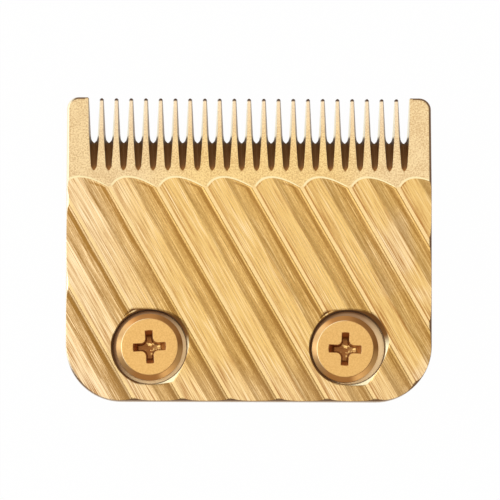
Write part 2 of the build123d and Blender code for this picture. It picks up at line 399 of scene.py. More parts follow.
class BladeMap:
    """Where a shaded point lies on the blade: which flute, which ground surface and which streaks."""

    def __init__(self, graph: Graph, form: BladeForm, spans: MaskSpans, flutes: "FluteFinish") -> None:
        """Works out the masks and the streaks.

        Args:
            graph: Graph of the blade's material.
            form: Sizes of the blade.
            spans: Where the masks start and end.
            flutes: Finish of the flutes, which has the streaks.
        """
        self.graph = graph
        self.form = form
        self.spans = spans
        self.x, self.y, self.z = graph.place_mm()
        self.lean_x, self.lean_y, self.lean_z = graph.lean()
        self.find_flutes()
        self.find_holes()
        self.find_teeth()
        self.find_edges()
        self.fine = flutes.fine.lay(self)
        self.broad = flutes.broad.lay(self)

    def find_flutes(self) -> None:
        """Finds the flutes, the ridges and the bevel."""
        form, spans = self.form, self.spans
        lean = math.radians(90.0 - form.flute_angle_deg)
        east = self.x * (1.0 + form.flute_drift) - form.ridge_offset
        north = self.y - form.crest_y
        self.across = east * math.cos(lean) + north * math.sin(lean)
        self.along = north * math.cos(lean) - east * math.sin(lean)
        turns = self.across / form.flute_pitch
        self.flute = turns.floor()
        offset = (turns - self.flute - 0.5) * form.flute_pitch
        self.side = offset / (form.flute_pitch / 2)
        radius = form.flute_radius
        self.tilt_x = offset * (-math.cos(lean) / radius)
        self.tilt_y = offset * (-math.sin(lean) / radius)
        depth = (radius**2 - offset * offset).root() - (radius - form.flute_depth)
        flute_top = form.thickness - depth.most(0.0)
        bevel_top = form.thickness - north.most(0.0) * form.bevel_slope
        self.lead = bevel_top - flute_top
        self.on_bevel = north.rise(*spans.bevel_start)
        self.in_flute = self.lead.rise(*spans.flute_edge)
        self.on_face = abs(self.z - flute_top.least(bevel_top)).fall(*spans.off_face)

    def find_holes(self) -> None:
        """Finds the counterbores, and the worn part of their rims that the fluted face runs over."""
        form, spans = self.form, self.spans
        side_sign = (self.x / form.hole_spacing).floor() * 2.0 + 1.0
        hole_x = self.x - side_sign * (form.hole_spacing / 2)
        from_axis = (hole_x * hole_x + self.y * self.y).root()
        outside = from_axis - form.bore_radius
        east = hole_x / from_axis
        north = self.y / from_axis
        self.bore_zone = outside.fall(form.chamfer_width, form.chamfer_width + spans.soft_edge)
        left = east.fall(*spans.worn_rim_east) * north.fall(*spans.worn_rim_north)
        crescent = outside.band(*spans.crescent) * (north - east).rise(*spans.crescent_bearing)
        self.worn_rim = self.bore_zone * (outside.rise(*spans.worn_rim) * left).most(crescent)
        self.on_face = self.on_face.most(self.worn_rim)
        in_bore = self.bore_zone * (1.0 - self.on_face)
        south_east = east - north
        # Masks for painted shade round the head, on the chamfer and in the corner, and for painted light on
        # the lower right
        self.bore_rim = outside.rise(*spans.bore_rim)
        self.bore_corner = abs(outside - spans.bore_corner_at).fall(*spans.bore_corner)
        self.bore_depth = outside.rise(*spans.bore_wall)
        self.low_right = south_east.rise(*spans.low_right_bearing)
        lit = south_east.rise(*spans.bright_rim_bearing)
        self.bright_rim = in_bore * outside.rise(*spans.bright_rim) * lit

    def find_teeth(self) -> None:
        """Finds the gaps, the flanks of the teeth and their tips."""
        form, spans = self.form, self.spans
        from_end = self.y - (form.tip_y - form.gap_length)
        from_opening = self.y - (form.tip_y - form.gap_length_on_back)
        from_tip = self.y - (form.tip_y - form.tooth_setback)
        last_tooth = form.toothed_half_width - form.end_gap_inset
        between_blocks = abs(self.x).fall(form.toothed_half_width, form.toothed_half_width + spans.soft_edge)
        free_tooth = abs(self.x).fall(last_tooth, last_tooth + spans.soft_edge)
        upright = abs(self.lean_x).rise(*spans.upright_lean)
        self.in_gap = from_end.rise(*spans.gap) * between_blocks * self.lean_z.rise(*spans.gap_lean)
        self.gap_end = from_end.fall(*spans.gap_end)
        # Horns, flanks and tips mark where painted light and shade go
        self.horn = upright * from_opening.rise(*spans.horn)
        self.flank = upright * from_opening.rise(*spans.flank)
        self.right_flank = self.lean_x.rise(*spans.right_flank_lean)
        self.gap_floor = self.in_gap * (1.0 - self.flank) * (1.0 - self.on_face)
        self.tooth = from_end.rise(spans.tooth_start, form.gap_length) * free_tooth
        self.tip = free_tooth * from_tip.rise(*spans.tip)

    def find_edges(self) -> None:
        """Finds the rounded edges of the plate, and those of them on its left."""
        spans = self.spans
        rounded = self.lean_z.band(*spans.edge_lean)
        self.edge = rounded * (1.0 - self.in_gap) * (1.0 - self.bore_zone)
        self.left_edge = self.lean_x.fall(*spans.left_edge_lean) * self.lean_y.rise(*spans.rear_edge_lean)

    def flute_normal(self) -> Wire:
        """The way that the hollow of a flute faces.

        Returns:
            Its normal.
        """
        graph = self.graph
        facing = graph.node("ShaderNodeCombineXYZ", {0: self.tilt_x, 1: self.tilt_y, 2: 1.0})
        unit = graph.node("ShaderNodeVectorMath", {0: graph.wire(facing)}, operation="NORMALIZE")
        return graph.wire(unit)


@dataclass(frozen=True)
class Streaks:
    """Grinding streaks along the flutes, their sizes in millimetres. The step shifts them at each flute."""

    width: float
    length: float
    detail: float
    roughness: float = 0.5
    step: float = 0.0
    start: float = 0.0

    def lay(self, place: BladeMap) -> Value:
        """Draws the streaks.

        Args:
            place: Where the shaded point lies.

        Returns:
            Noise of about 0 on average.
        """
        pattern = place.flute * self.step + self.start
        across, along = place.across / self.width, place.along / self.length
        return place.graph.grain(across, along, pattern, self.detail, self.roughness) - 0.5


@dataclass(frozen=True)
class FaceZones:
    """Zones of the fluted face with other streaks and tones, and with painted sheen or painted glints."""

    worked_and_glint: Value
    scratched: Value
    left: Value
    right: Value
    rear: Value


@dataclass(frozen=True)
class ZoneShares:
    """How strong a mark is all over the fluted face, and what each zone adds to that."""

    base: float = 0.0
    worked_and_glint: float = 0.0
    scratched: float = 0.0
    left: float = 0.0
    right: float = 0.0
    rear: float = 0.0

    def total(self, zones: FaceZones) -> Number:
        """Adds up the shares.

        Args:
            zones: The zones at the shaded point.

        Returns:
            Strength of the mark there.
        """
        strength: Number = self.base
        for zone in fields(zones):
            share = getattr(self, zone.name)
            if share:
                strength = getattr(zones, zone.name) * share + strength
        return strength


@dataclass(frozen=True)
class PassTones:
    """Depth of colour across a flute: painted light on one half, painted shade on the other and in bands.

    A side runs from -1 at one ridge to 1 at the next. A lead is how far the flute lies below the ridge tops.
    Tones run from 0, light, to 1, deep, and a pair of them is for the left and the right of the blade.
    """

    wander: Streaks = Streaks(2.0, 9.0, 2.0, 0.6, step=5.7)
    wander_share: float = 0.25
    shaded_side: Span = (-0.11, 0.1)
    crease_side: Span = (0.1, 0.38)
    run_off_side: Span = (0.36, 0.6)
    far_side: Span = (0.15, 0.4)
    near_side: Span = (-0.6, -0.4)
    edge_shade_side: Span = (-0.85, -0.4)
    off_ridge_lead: Span = (0.07, 0.086)
    beside_ridge_lead: Span = (0.148, 0.17)
    far_groove_lead: Span = (0.02, 0.034)
    near_groove_lead: Band = (0.01, 0.025, 0.04, 0.06)
    shoulder_lead: Band = (0.03, 0.04, 0.064, 0.076)
    beside_ridge_x: Span = (2.0, 14.0)
    groove_x: Span = (-14.0, 8.0)
    edge_shade_x: Span = (0.0, 18.0)
    lower_end: Span = (-16.0, 0.0)
    # Tone of the painted light half, with painted shade near its ridge
    first: float = 0.03
    edge_shade: Span = (0.16, 0.28)
    near_groove: Span = (0.1, 0.5)
    # Tone of the painted shaded half, with a darker painted step, run-off and bands, darker towards the lower
    # end
    second: float = 0.53
    crease: float = 0.09
    run_off: float = 0.14
    beside_ridge: Span = (0.28, 0.112)
    far_groove: Span = (0.15, 0.45)
    lower: float = 0.08
    # Painted highlight on the shoulder of the shaded half
    rubbed: float = 0.6
    highlight_wander: float = 1.2

    def lay(self, place: BladeMap) -> Value:
        """Works out the tone.

        Args:
            place: Where the shaded point lies.

        Returns:
            The tone there, before any streaks.
        """
        wander = self.wander.lay(place)
        side = place.side + wander * self.wander_share
        edge = place.side.fall(*self.edge_shade_side) * place.x.ease(self.edge_shade_x, self.edge_shade)
        near_groove = place.lead.band(*self.near_groove_lead) * place.side.fall(*self.near_side)
        near_groove = near_groove * place.x.ease(self.groove_x, self.near_groove)
        # Painted shade over the shaded half and in bands, lifted by a painted highlight on the shoulder
        shaded_half = side.rise(*self.shaded_side)
        far_half = place.side.rise(*self.far_side)
        off_ridge = place.lead.rise(*self.off_ridge_lead)
        crease = shaded_half * side.fall(*self.crease_side)
        run_off = side.rise(*self.run_off_side) * off_ridge
        beside_ridge = place.lead.fall(*self.beside_ridge_lead) * off_ridge * far_half
        beside_ridge = beside_ridge * place.x.ease(self.beside_ridge_x, self.beside_ridge)
        far_groove = place.lead.fall(*self.far_groove_lead) * far_half
        far_groove = far_groove * place.x.ease(self.groove_x, self.far_groove)
        tone = self.second + crease * self.crease + run_off * self.run_off + beside_ridge + far_groove
        tone = tone + place.along.fall(*self.lower_end) * self.lower
        shoulder = place.lead.band(*self.shoulder_lead) * far_half * (1.0 - place.on_bevel)
        without_highlight = 1.0 - shoulder * (self.rubbed + wander * self.highlight_wander)
        return self.first + edge + near_groove + shaded_half * tone * without_highlight


@dataclass(frozen=True)
class FluteFinish:
    """Streaked finish that the wheel leaves along the flutes, with painted light, shade, sheen and glints."""

    # Light and deep colour the painted light and shaded halves, warm the darker streaks, pale the painted
    # sheen and glints
    light: Rgb = (0.86, 0.585, 0.21)
    warm: Rgb = (0.45, 0.2, 0.05)
    deep: Rgb = (0.315, 0.163, 0.037)
    pale: Rgb = (1.0, 0.8, 0.5)
    roughness: float = 0.26
    streak_roughness: float = 0.15
    tones: PassTones = PassTones()
    fine: Streaks = Streaks(0.1, 5.0, 1.0, 0.6, step=7.3)
    broad: Streaks = Streaks(0.5, 22.0, 1.5, step=3.1)
    grit: Streaks = Streaks(0.14, 0.5, 1.0, start=2.0)
    patch_size: float = 8.0
    worked_and_glint_patch: Span = (0.4, 0.7)
    pale_patch: Span = (0.45, 0.6)
    left_x: Span = (-22.0, -8.0)
    scratched_x: Span = (10.0, 18.0)
    right_x: Span = (12.0, 19.0)
    rear_y: Span = (-5.5, -0.5)
    rear_scratches: float = 2.0
    # The painted shaded half of each flute, where the streaks are calmer
    shaded_side: Span = (-0.1, 0.1)
    shaded_calm: float = 0.65
    zone_tone: ZoneShares = ZoneShares(left=0.1, rear=0.09)
    fine_strength: ZoneShares = ZoneShares(2.4, worked_and_glint=0.4, scratched=0.7, left=0.2)
    broad_strength: float = 0.4
    grit_strength: float = 0.4
    # Painted sheen: paler on the left, in patches on the right and at the rear
    sheen: ZoneShares = ZoneShares(left=0.65, right=0.45, rear=0.3)
    deep_sheen: ZoneShares = ZoneShares(rear=0.05)
    glint_streak: Span = (0.06, 0.2)
    glint_side: Span = (0.4, 0.8)
    glint: ZoneShares = ZoneShares(0.4, worked_and_glint=0.55, left=0.7)

    def zones(self, place: BladeMap) -> FaceZones:
        """Finds the zones of the face.

        Args:
            place: Where the shaded point lies.

        Returns:
            The zones, each 1 inside and 0 outside.
        """
        patch = place.graph.grain(place.x / self.patch_size, place.y / self.patch_size, 0.0)
        rear = place.y.fall(*self.rear_y)
        scratched = place.x.rise(*self.scratched_x).most(rear * self.rear_scratches)
        return FaceZones(
            worked_and_glint=patch.rise(*self.worked_and_glint_patch),
            scratched=scratched * place.side.fall(*self.shaded_side),
            left=place.x.fall(*self.left_x),
            right=place.x.rise(*self.right_x) * patch.rise(*self.pale_patch),
            rear=rear,
        )

    def colour(self, place: BladeMap) -> Tint:
        """Colour over the flutes.

        Args:
            place: Where the shaded point lies.

        Returns:
            The colour.
        """
        graph = place.graph
        zones = self.zones(place)
        # Painted shade on the shaded half, painted sheen over the light colour, and painted glints along the
        # streaks
        second = place.side.rise(*self.shaded_side)
        calm = 1.0 - second * self.shaded_calm
        streaked = place.fine * self.fine_strength.total(zones) + place.broad * self.broad_strength
        grit = self.grit.lay(place) * self.grit_strength
        depth = self.tones.lay(place) + self.zone_tone.total(zones) + streaked * calm + grit
        light = graph.blend(self.sheen.total(zones), self.light, self.pale)
        deep = graph.layers(self.warm, (second, self.deep), (self.deep_sheen.total(zones), self.pale))
        glint = (place.fine * -1.0).rise(*self.glint_streak) * place.side.fall(*self.glint_side)
        glint = glint * self.glint.total(zones) * calm
        return graph.layers(light, (depth.held(), deep), (glint, self.pale))


@dataclass(frozen=True)
class BevelFinish:
    """Satin finish of the lapped bevel, the teeth and the ridge tops, more golden near the middle."""

    light: Rgb = (0.95, 0.75, 0.42)
    deep: Rgb = (0.72, 0.5, 0.25)
    golden_light: Rgb = (0.97, 0.725, 0.32)
    golden_deep: Rgb = (0.735, 0.482, 0.19)
    golden_x: Band = (-15.0, -5.0, 9.0, 18.0)
    tooth: Rgb = (0.97, 0.81, 0.6)
    tooth_share: float = 0.7
    # Painted highlight lines along the ridges and the scalloped foot of the bevel
    ridge: Rgb = (0.91, 0.67, 0.315)
    ridge_lead: Band = (-0.035, -0.01, 0.003, 0.012)
    scallop: Rgb = (1.0, 0.88, 0.52)
    scallop_lead: Band = (-0.05, -0.03, 0.006, 0.016)
    line_share: float = 0.85
    roughness: float = 0.34
    grain_size: float = 0.2
    grain_strength: float = 4.5
    cloud_size: float = 2.2
    cloud_start: float = 5.0
    cloud_strength: float = 1.4
    middle_depth: float = 0.42

    def colour(self, place: BladeMap) -> Tint:
        """Colour over the bevel.

        Args:
            place: Where the shaded point lies.

        Returns:
            The colour.
        """
        graph = place.graph
        grain = graph.grain(place.x / self.grain_size, place.y / self.grain_size, 0.0, roughness=0.6) - 0.5
        cloud = graph.grain(place.x / self.cloud_size, place.y / self.cloud_size, self.cloud_start) - 0.5
        golden = place.x.band(*self.golden_x)
        light = graph.blend(golden, self.light, self.golden_light)
        deep = graph.blend(golden, self.deep, self.golden_deep)
        depth = self.middle_depth + grain * self.grain_strength + cloud * self.cloud_strength
        return graph.layers(light, (depth.held(), deep), (place.tooth * self.tooth_share, self.tooth))

    def lines(self, place: BladeMap, face: Tint) -> Tint:
        """Adds the painted highlight lines along the ridges and along the scalloped foot of the bevel.

        Args:
            place: Where the shaded point lies.
            face: Colour of the face without its lines.

        Returns:
            The colour.
        """
        ridge = place.lead.band(*self.ridge_lead) * self.line_share
        scallop = place.lead.band(*self.scallop_lead) * place.on_bevel * self.line_share
        return place.graph.layers(face, (ridge, self.ridge), (scallop, self.scallop))


@dataclass(frozen=True)
class CoatedBladeFinish:
    """Gold coat over the whole blade, with the marks of each grinding operation, and painted light and shade.
    """

    flutes: FluteFinish = FluteFinish()
    bevel: BevelFinish = BevelFinish()
    spans: MaskSpans = MaskSpans()
    # Side walls and back: a duller cut coat, darkened further with painted shade
    wall: Rgb = (0.42, 0.27, 0.12)
    # Painted shade in the tooth gaps, lighter towards their closed ends and darkest on the horns
    gap: Rgb = (0.212, 0.093, 0.02)
    gap_end: Rgb = (0.38, 0.155, 0.025)
    horn: Rgb = (0.12, 0.065, 0.025)
    # Painted light on the tooth flanks that face left, painted shade on those that face right
    left_flank: Rgb = (1.0, 0.92, 0.7)
    right_flank: Rgb = (0.24, 0.15, 0.085)
    # Painted shade on the rounded fronts of the free teeth
    tip: Rgb = (0.11, 0.065, 0.045)
    # Painted light on the plate's rounded edges that face left, painted shade on the others
    dark_edge: Rgb = (0.21, 0.12, 0.062)
    pale_edge: Rgb = (0.99, 0.88, 0.66)
    # Painted shade round the head, on the chamfer (most on the upper left) and in the corner; painted light
    # on the lower right
    bore: Rgb = (0.45, 0.27, 0.14)
    bore_deep: Rgb = (0.24, 0.116, 0.05)
    bore_low: Rgb = (1.0, 0.76, 0.43)
    bore_edge: Rgb = (0.22, 0.1, 0.03)
    bore_rim: Rgb = (1.0, 0.93, 0.62)
    bore_corner: Rgb = (0.13, 0.075, 0.04)
    bore_corner_share: float = 0.8
    wall_roughness: float = 0.42
    gap_roughness: float = 0.65
    # The painted highlight is made less metallic so that its pale colour shows
    bright_rim_dullness: float = 0.4
    gap_dullness: float = 0.7
    streak_height: float = 0.003
    broad_streak_share: float = 0.6
    edge_rounding: float = 0.09
    edge_samples: int = 6

    def bore_colour(self, place: BladeMap) -> Tint:
        """Colour of the counterbores: painted shade round the head, painted light on the lower right.

        Args:
            place: Where the shaded point lies.

        Returns:
            The colour.
        """
        return place.graph.layers(
            self.bore,
            (place.bore_depth, self.bore_deep),
            (place.low_right, self.bore_low),
            (place.bore_rim, self.bore_edge),
            (place.bright_rim, self.bore_rim),
            (place.bore_corner * self.bore_corner_share, self.bore_corner),
        )

    def hidden_colour(self, place: BladeMap) -> Tint:
        """Colour of everything but the fluted face: side walls, back, counterbores and tooth gaps.

        Args:
            place: Where the shaded point lies.

        Returns:
            The colour.
        """
        graph = place.graph
        # Painted light and shade on the flanks, by the way they face
        flank = graph.blend(place.right_flank, self.left_flank, self.right_flank)
        # Painted shade in the gaps and on the horns
        gap = graph.blend(place.gap_end, self.gap, self.gap_end)
        gap = graph.layers(gap, (place.horn, self.horn), (place.flank, flank))
        return graph.layers(self.wall, (place.bore_zone, self.bore_colour(place)), (place.in_gap, gap))

    def colour(self, place: BladeMap) -> Tint:
        """Colour of the whole blade.

        Args:
            place: Where the shaded point lies.

        Returns:
            The colour.
        """
        graph = place.graph
        face = graph.blend(place.in_flute, self.bevel.colour(place), self.flutes.colour(place))
        face = self.bevel.lines(place, face)
        # Painted light on the left edges and painted shade on the others
        edge = graph.blend(place.left_edge, self.dark_edge, self.pale_edge)
        hidden = self.hidden_colour(place)
        # Painted shade on the tooth tips
        return graph.layers(hidden, (place.on_face, face), (place.edge, edge), (place.tip, self.tip))

    def roughness(self, place: BladeMap) -> Value:
        """Roughness of the whole blade.

        Args:
            place: Where the shaded point lies.

        Returns:
            The roughness.
        """
        satin = self.bevel.roughness - place.in_flute * (self.bevel.roughness - self.flutes.roughness)
        face = satin + place.fine * place.in_flute * self.flutes.streak_roughness
        hidden = self.wall_roughness + place.gap_floor * (self.gap_roughness - self.wall_roughness)
        return face * place.on_face + (1.0 - place.on_face) * hidden

    def normal(self, place: BladeMap) -> Wire:
        """Rounds the edges, runs the flutes over the worn rims and raises the streaks.

        Args:
            place: Where the shaded point lies.

        Returns:
            The normal.
        """
        graph = place.graph
        radius = self.edge_rounding * MM
        rounded = graph.node("ShaderNodeBevel", {"Radius": radius}, samples=self.edge_samples)
        streaks = place.fine + place.broad * self.broad_streak_share
        inputs = {
            "Strength": 1.0,
            "Distance": self.streak_height * MM,
            "Height": streaks * place.in_flute * place.on_face,
            "Normal": graph.bend(place.worn_rim, graph.wire(rounded), place.flute_normal()),
        }
        return graph.wire(graph.node("ShaderNodeBump", inputs))

    def material(self, form: BladeForm) -> bpy.types.Material:
        """Makes the blade's material.

        Args:
            form: Sizes of the blade.

        Returns:
            The material.
        """
        made = bpy.data.materials.new("gold_coated_blade")
        graph = Graph(made)
        place = BladeMap(graph, form, self.spans, self.flutes)
        # Less metallic where the painted highlight lies on the counterbores, and on the gap floors
        dullness = place.bright_rim * self.bright_rim_dullness + place.gap_floor * self.gap_dullness
        graph.principled(
            {
                "Base Color": self.colour(place),
                "Metallic": 1.0 - dullness,
                "Roughness": self.roughness(place),
                "Normal": self.normal(place),
            }
        )
        return made


@dataclass(frozen=True)
class ScrewFinish:
    """Matt gold coat of the formed screws, with painted light and shade on the head's rim and in the recess.

    Depths, reaches and sizes are in millimetres. A lean is one part of the surface's normal, and the far and
    the highlight sides are headings.
    """

    light: Rgb = (0.81, 0.505, 0.18)
    deep: Rgb = (0.71, 0.42, 0.135)
    # Painted shade on the rim, painted light on its far and near sides, and a painted highlight edge
    rim: Rgb = (0.5, 0.235, 0.072)
    far_rim: Rgb = (1.0, 0.62, 0.24)
    near_rim: Rgb = (0.62, 0.385, 0.165)
    highlight_edge: Rgb = (1.0, 0.84, 0.5)
    highlight_share: float = 0.85
    # Painted shade in the recess, darker towards its floor; the glint colour paints the glints and the lit
    # arm
    recess: Rgb = (0.56, 0.22, 0.06)
    recess_floor: Rgb = (0.31, 0.115, 0.022)
    glint: Rgb = (1.0, 0.66, 0.24)
    grain_size: float = 0.2
    grain_depth: Span = (0.3, 0.7)
    grain_height: float = 0.004
    grain_bump: float = 0.6
    roughness: float = 0.33
    grain_roughness: float = 0.15
    rim_lean: Span = (0.9, 0.98)
    far_side: tuple[float, float] = (0.79, -0.61)
    far_lean: Span = (0.36, 0.48)
    near_lean: Span = (-0.43, -0.22)
    highlight_side: tuple[float, float] = (0.92, -0.4)
    highlight_lean: Span = (-0.2, -0.08)
    flat_lean: Span = (0.88, 0.92)
    recess_top: Span = (0.02, 0.08)
    head_foot: Span = (0.0, 0.05)
    recess_margin: float = 0.05
    recess_floor_depth: Span = (0.7, 1.2)
    lit_arm_x: Span = (0.2, 1.2)
    lit_arm_share: float = 0.36
    scuff_size: Point = (0.6, 0.3, 0.35)
    glint_grain: Span = (0.57, 0.66)
    glint_depth: Span = (0.6, 1.0)
    glint_x: float = 0.4
    glint_reach: Span = (0.6, 1.1)
    recess_dullness: float = 0.3

    def coat(self, graph: Graph, grain: Value) -> Tint:
        """Colour of the head and the shank, with painted light and shade round the head's rim.

        Args:
            graph: Graph of the screw's material.
            grain: Fine noise of the coat.

        Returns:
            The colour.
        """
        lean_x, lean_y, lean_z = graph.lean()
        far = lean_x * self.far_side[0] + lean_y * self.far_side[1]
        rubbed = lean_x * self.highlight_side[0] + lean_y * self.highlight_side[1]
        rubbed = rubbed.fall(*self.highlight_lean) * lean_z.rise(*self.flat_lean)
        # Painted shade on the sloping rim, painted light on its far and near sides, and a painted highlight
        # along the flat's edge
        return graph.layers(
            self.light,
            (grain.rise(*self.grain_depth), self.deep),
            (lean_z.fall(*self.rim_lean), self.rim),
            (far.rise(*self.far_lean), self.far_rim),
            (lean_x.fall(*self.near_lean), self.near_rim),
            (rubbed * self.highlight_share, self.highlight_edge),
        )

    def material(self, form: "ScrewForm") -> bpy.types.Material:
        """Makes the material of one screw, whose mesh has its head's underside at z = 0.

        Args:
            form: Sizes of the screw.

        Returns:
            The material.
        """
        made = bpy.data.materials.new("gold_coated_screw")
        graph = Graph(made)
        x, y, z = graph.place_mm()
        size = self.grain_size
        grain = graph.grain(x / size, y / size, z / size, detail=3.0, roughness=0.6)
        below_top = form.head_height - z
        from_axis = (x * x + y * y).root()
        in_recess = below_top.rise(*self.recess_top) * z.rise(*self.head_foot)
        in_recess = in_recess * from_axis.fall(form.recess_reach, form.recess_reach + self.recess_margin)
        # Painted glints near the middle of the recess
        size_x, size_y, size_z = self.scuff_size
        glinting = graph.grain(x / size_x, y / size_y, z / size_z).rise(*self.glint_grain)
        glint_x = x - self.glint_x
        glinting = glinting * (glint_x * glint_x + y * y).root().fall(*self.glint_reach)
        glinting = in_recess * glinting * below_top.rise(*self.glint_depth)
        # Painted shade in the recess, darker towards its floor, and painted light on the arm that faces the
        # light
        recess = graph.layers(
            self.recess,
            (below_top.rise(*self.recess_floor_depth), self.recess_floor),
            (x.rise(*self.lit_arm_x) * self.lit_arm_share, self.glint),
        )
        colour = graph.layers(self.coat(graph, grain), (in_recess, recess), (glinting, self.glint))
        raised = {"Strength": self.grain_bump, "Distance": self.grain_height * MM, "Height": grain}
        graph.principled(
            {
                "Base Color": colour,
                "Metallic": 1.0 - in_recess * (1.0 - glinting) * self.recess_dullness,
                "Roughness": self.roughness + (grain - 0.5) * self.grain_roughness,
                "Normal": graph.wire(graph.node("ShaderNodeBump", raised)),
            }
        )
        return made


@dataclass(frozen=True)
class ScrewForm:
    """Sizes of one screw in millimetres; its head's underside lies at z = 0.

    The thread's root and flank are shares of half its pitch, and its run-in is one of the whole pitch. Rings
    are where the mesh has its points: radii, heights, depths in the recess, or shares of a slope or a floor.
    """

    head_radius: float = 4.1
    flat_radius: float = 3.45
    head_height: float = 1.65
    rim_height: float = 1.27
    rim_round: float = 0.3
    edge_break: float = 0.04
    neck_radius: float = 1.75
    neck_length: float = 1.55
    thread_radius: float = 2.0
    thread_pitch: float = 0.7
    thread_depth: float = 0.42
    thread_root: float = 0.2
    thread_flank: float = 0.62
    thread_run_in: float = 0.8
    thread_rows: int = 18
    length: float = 6.0
    end_chamfer: float = 0.4
    recess_reach: float = 2.035
    recess_half_width: float = 0.475
    recess_corner: float = 0.6
    recess_depth: float = 1.4
    recess_draft_deg: float = 8.0
    recess_cone_deg: float = 26.5
    recess_end_steps: int = 3
    recess_side_steps: int = 6
    recess_corner_steps: int = 5
    recess_rings: tuple[float, ...] = (0.032, 0.2, 0.5, 0.8, 1.1, 1.35)
    recess_floor_rings: tuple[Span, ...] = ((0.93, 0.0), (0.6, 0.01), (0.3, 0.03), (0.1, 0.05))
    tip_rings: tuple[float, ...] = (0.3, 0.8, 1.2)
    neck_ring: float = -0.5
    underside_rings: tuple[float, ...] = (2.4, 3.2)
    slope_rings: tuple[float, ...] = (0.1, 0.5, 0.9)
    flat_rings: tuple[float, ...] = (3.1, 2.8)
    rim_steps: int = 6
    crease_deg: float = 25.0

    def cross_ring(self, depth: float, spread: float = 0.0) -> list[tuple[float, float]]:
        """Outline of the cross recess at one depth.

        Args:
            depth: Depth below the head's top.
            spread: Amount by which the outline stands outside the recess.

        Returns:
            Points round the outline, the same number at every depth.
        """
        half = self.recess_half_width - depth * math.tan(math.radians(self.recess_draft_deg)) + spread
        reach = self.recess_reach - depth * math.tan(math.radians(self.recess_cone_deg)) + spread
        middle = self.recess_half_width + self.recess_corner
        corner = middle - half
        end_angle = math.asin(half / reach)
        octant = []
        for step in range(self.recess_end_steps):
            turn = end_angle * step / self.recess_end_steps
            octant.append((reach * math.cos(turn), reach * math.sin(turn)))
        start = math.sqrt(reach**2 - half**2)
        for step in range(self.recess_side_steps):
            octant.append((start + (middle - start) * step / self.recess_side_steps, half))
        for step in range(self.recess_corner_steps):
            turn = math.radians(270.0 - 45.0 * step / self.recess_corner_steps)
            octant.append((middle + corner * math.cos(turn), middle + corner * math.sin(turn)))
        diagonal = middle - corner * math.sqrt(0.5)
        mirrored = [(y, x) for x, y in reversed(octant[1:])]
        quarter = octant + [(diagonal, diagonal)] + mirrored
        ring = []
        for cosine, sine in ((1, 0), (0, 1), (-1, 0), (0, -1)):
            ring += [(x * cosine - y * sine, x * sine + y * cosine) for x, y in quarter]
        return ring

    def thread_reach(self, z: float, angle: float) -> float:
        """Radius of the threaded shank.

        Args:
            z: Height, negative below the head.
            angle: Angle about the axis, in radians.

        Returns:
            The radius there, thread, run-out and end chamfer included.
        """
        turns = z / self.thread_pitch - angle / (2 * math.pi)
        from_root = abs(turns - math.floor(turns) - 0.5) * 2
        crest_share = min(1.0, max(0.0, (from_root - self.thread_root) / self.thread_flank))
        run_in = min(1.0, max(0.0, (-self.neck_length - z) / (self.thread_pitch * self.thread_run_in)))
        reach = self.thread_radius - self.thread_depth * (1 - crest_share) * run_in
        chamfered = self.thread_radius - self.end_chamfer + (z + self.length)
        return min(reach, chamfered)


def add_object(name: str, data: bpy.types.ID) -> bpy.types.Object:
    """Puts a new object into the scene.

    Args:
        name: Name of the object.
        data: Its mesh, lamp or camera.

    Returns:
        The object.
    """
    made = bpy.data.objects.new(name, data)
    bpy.context.scene.collection.objects.link(made)
    return made


def circle(angles: Sequence[float], radius: float, z: float) -> list[Point]:
    """Points round the screw's axis, one at each angle."""
    return [(radius * math.cos(angle), radius * math.sin(angle), z) for angle in angles]


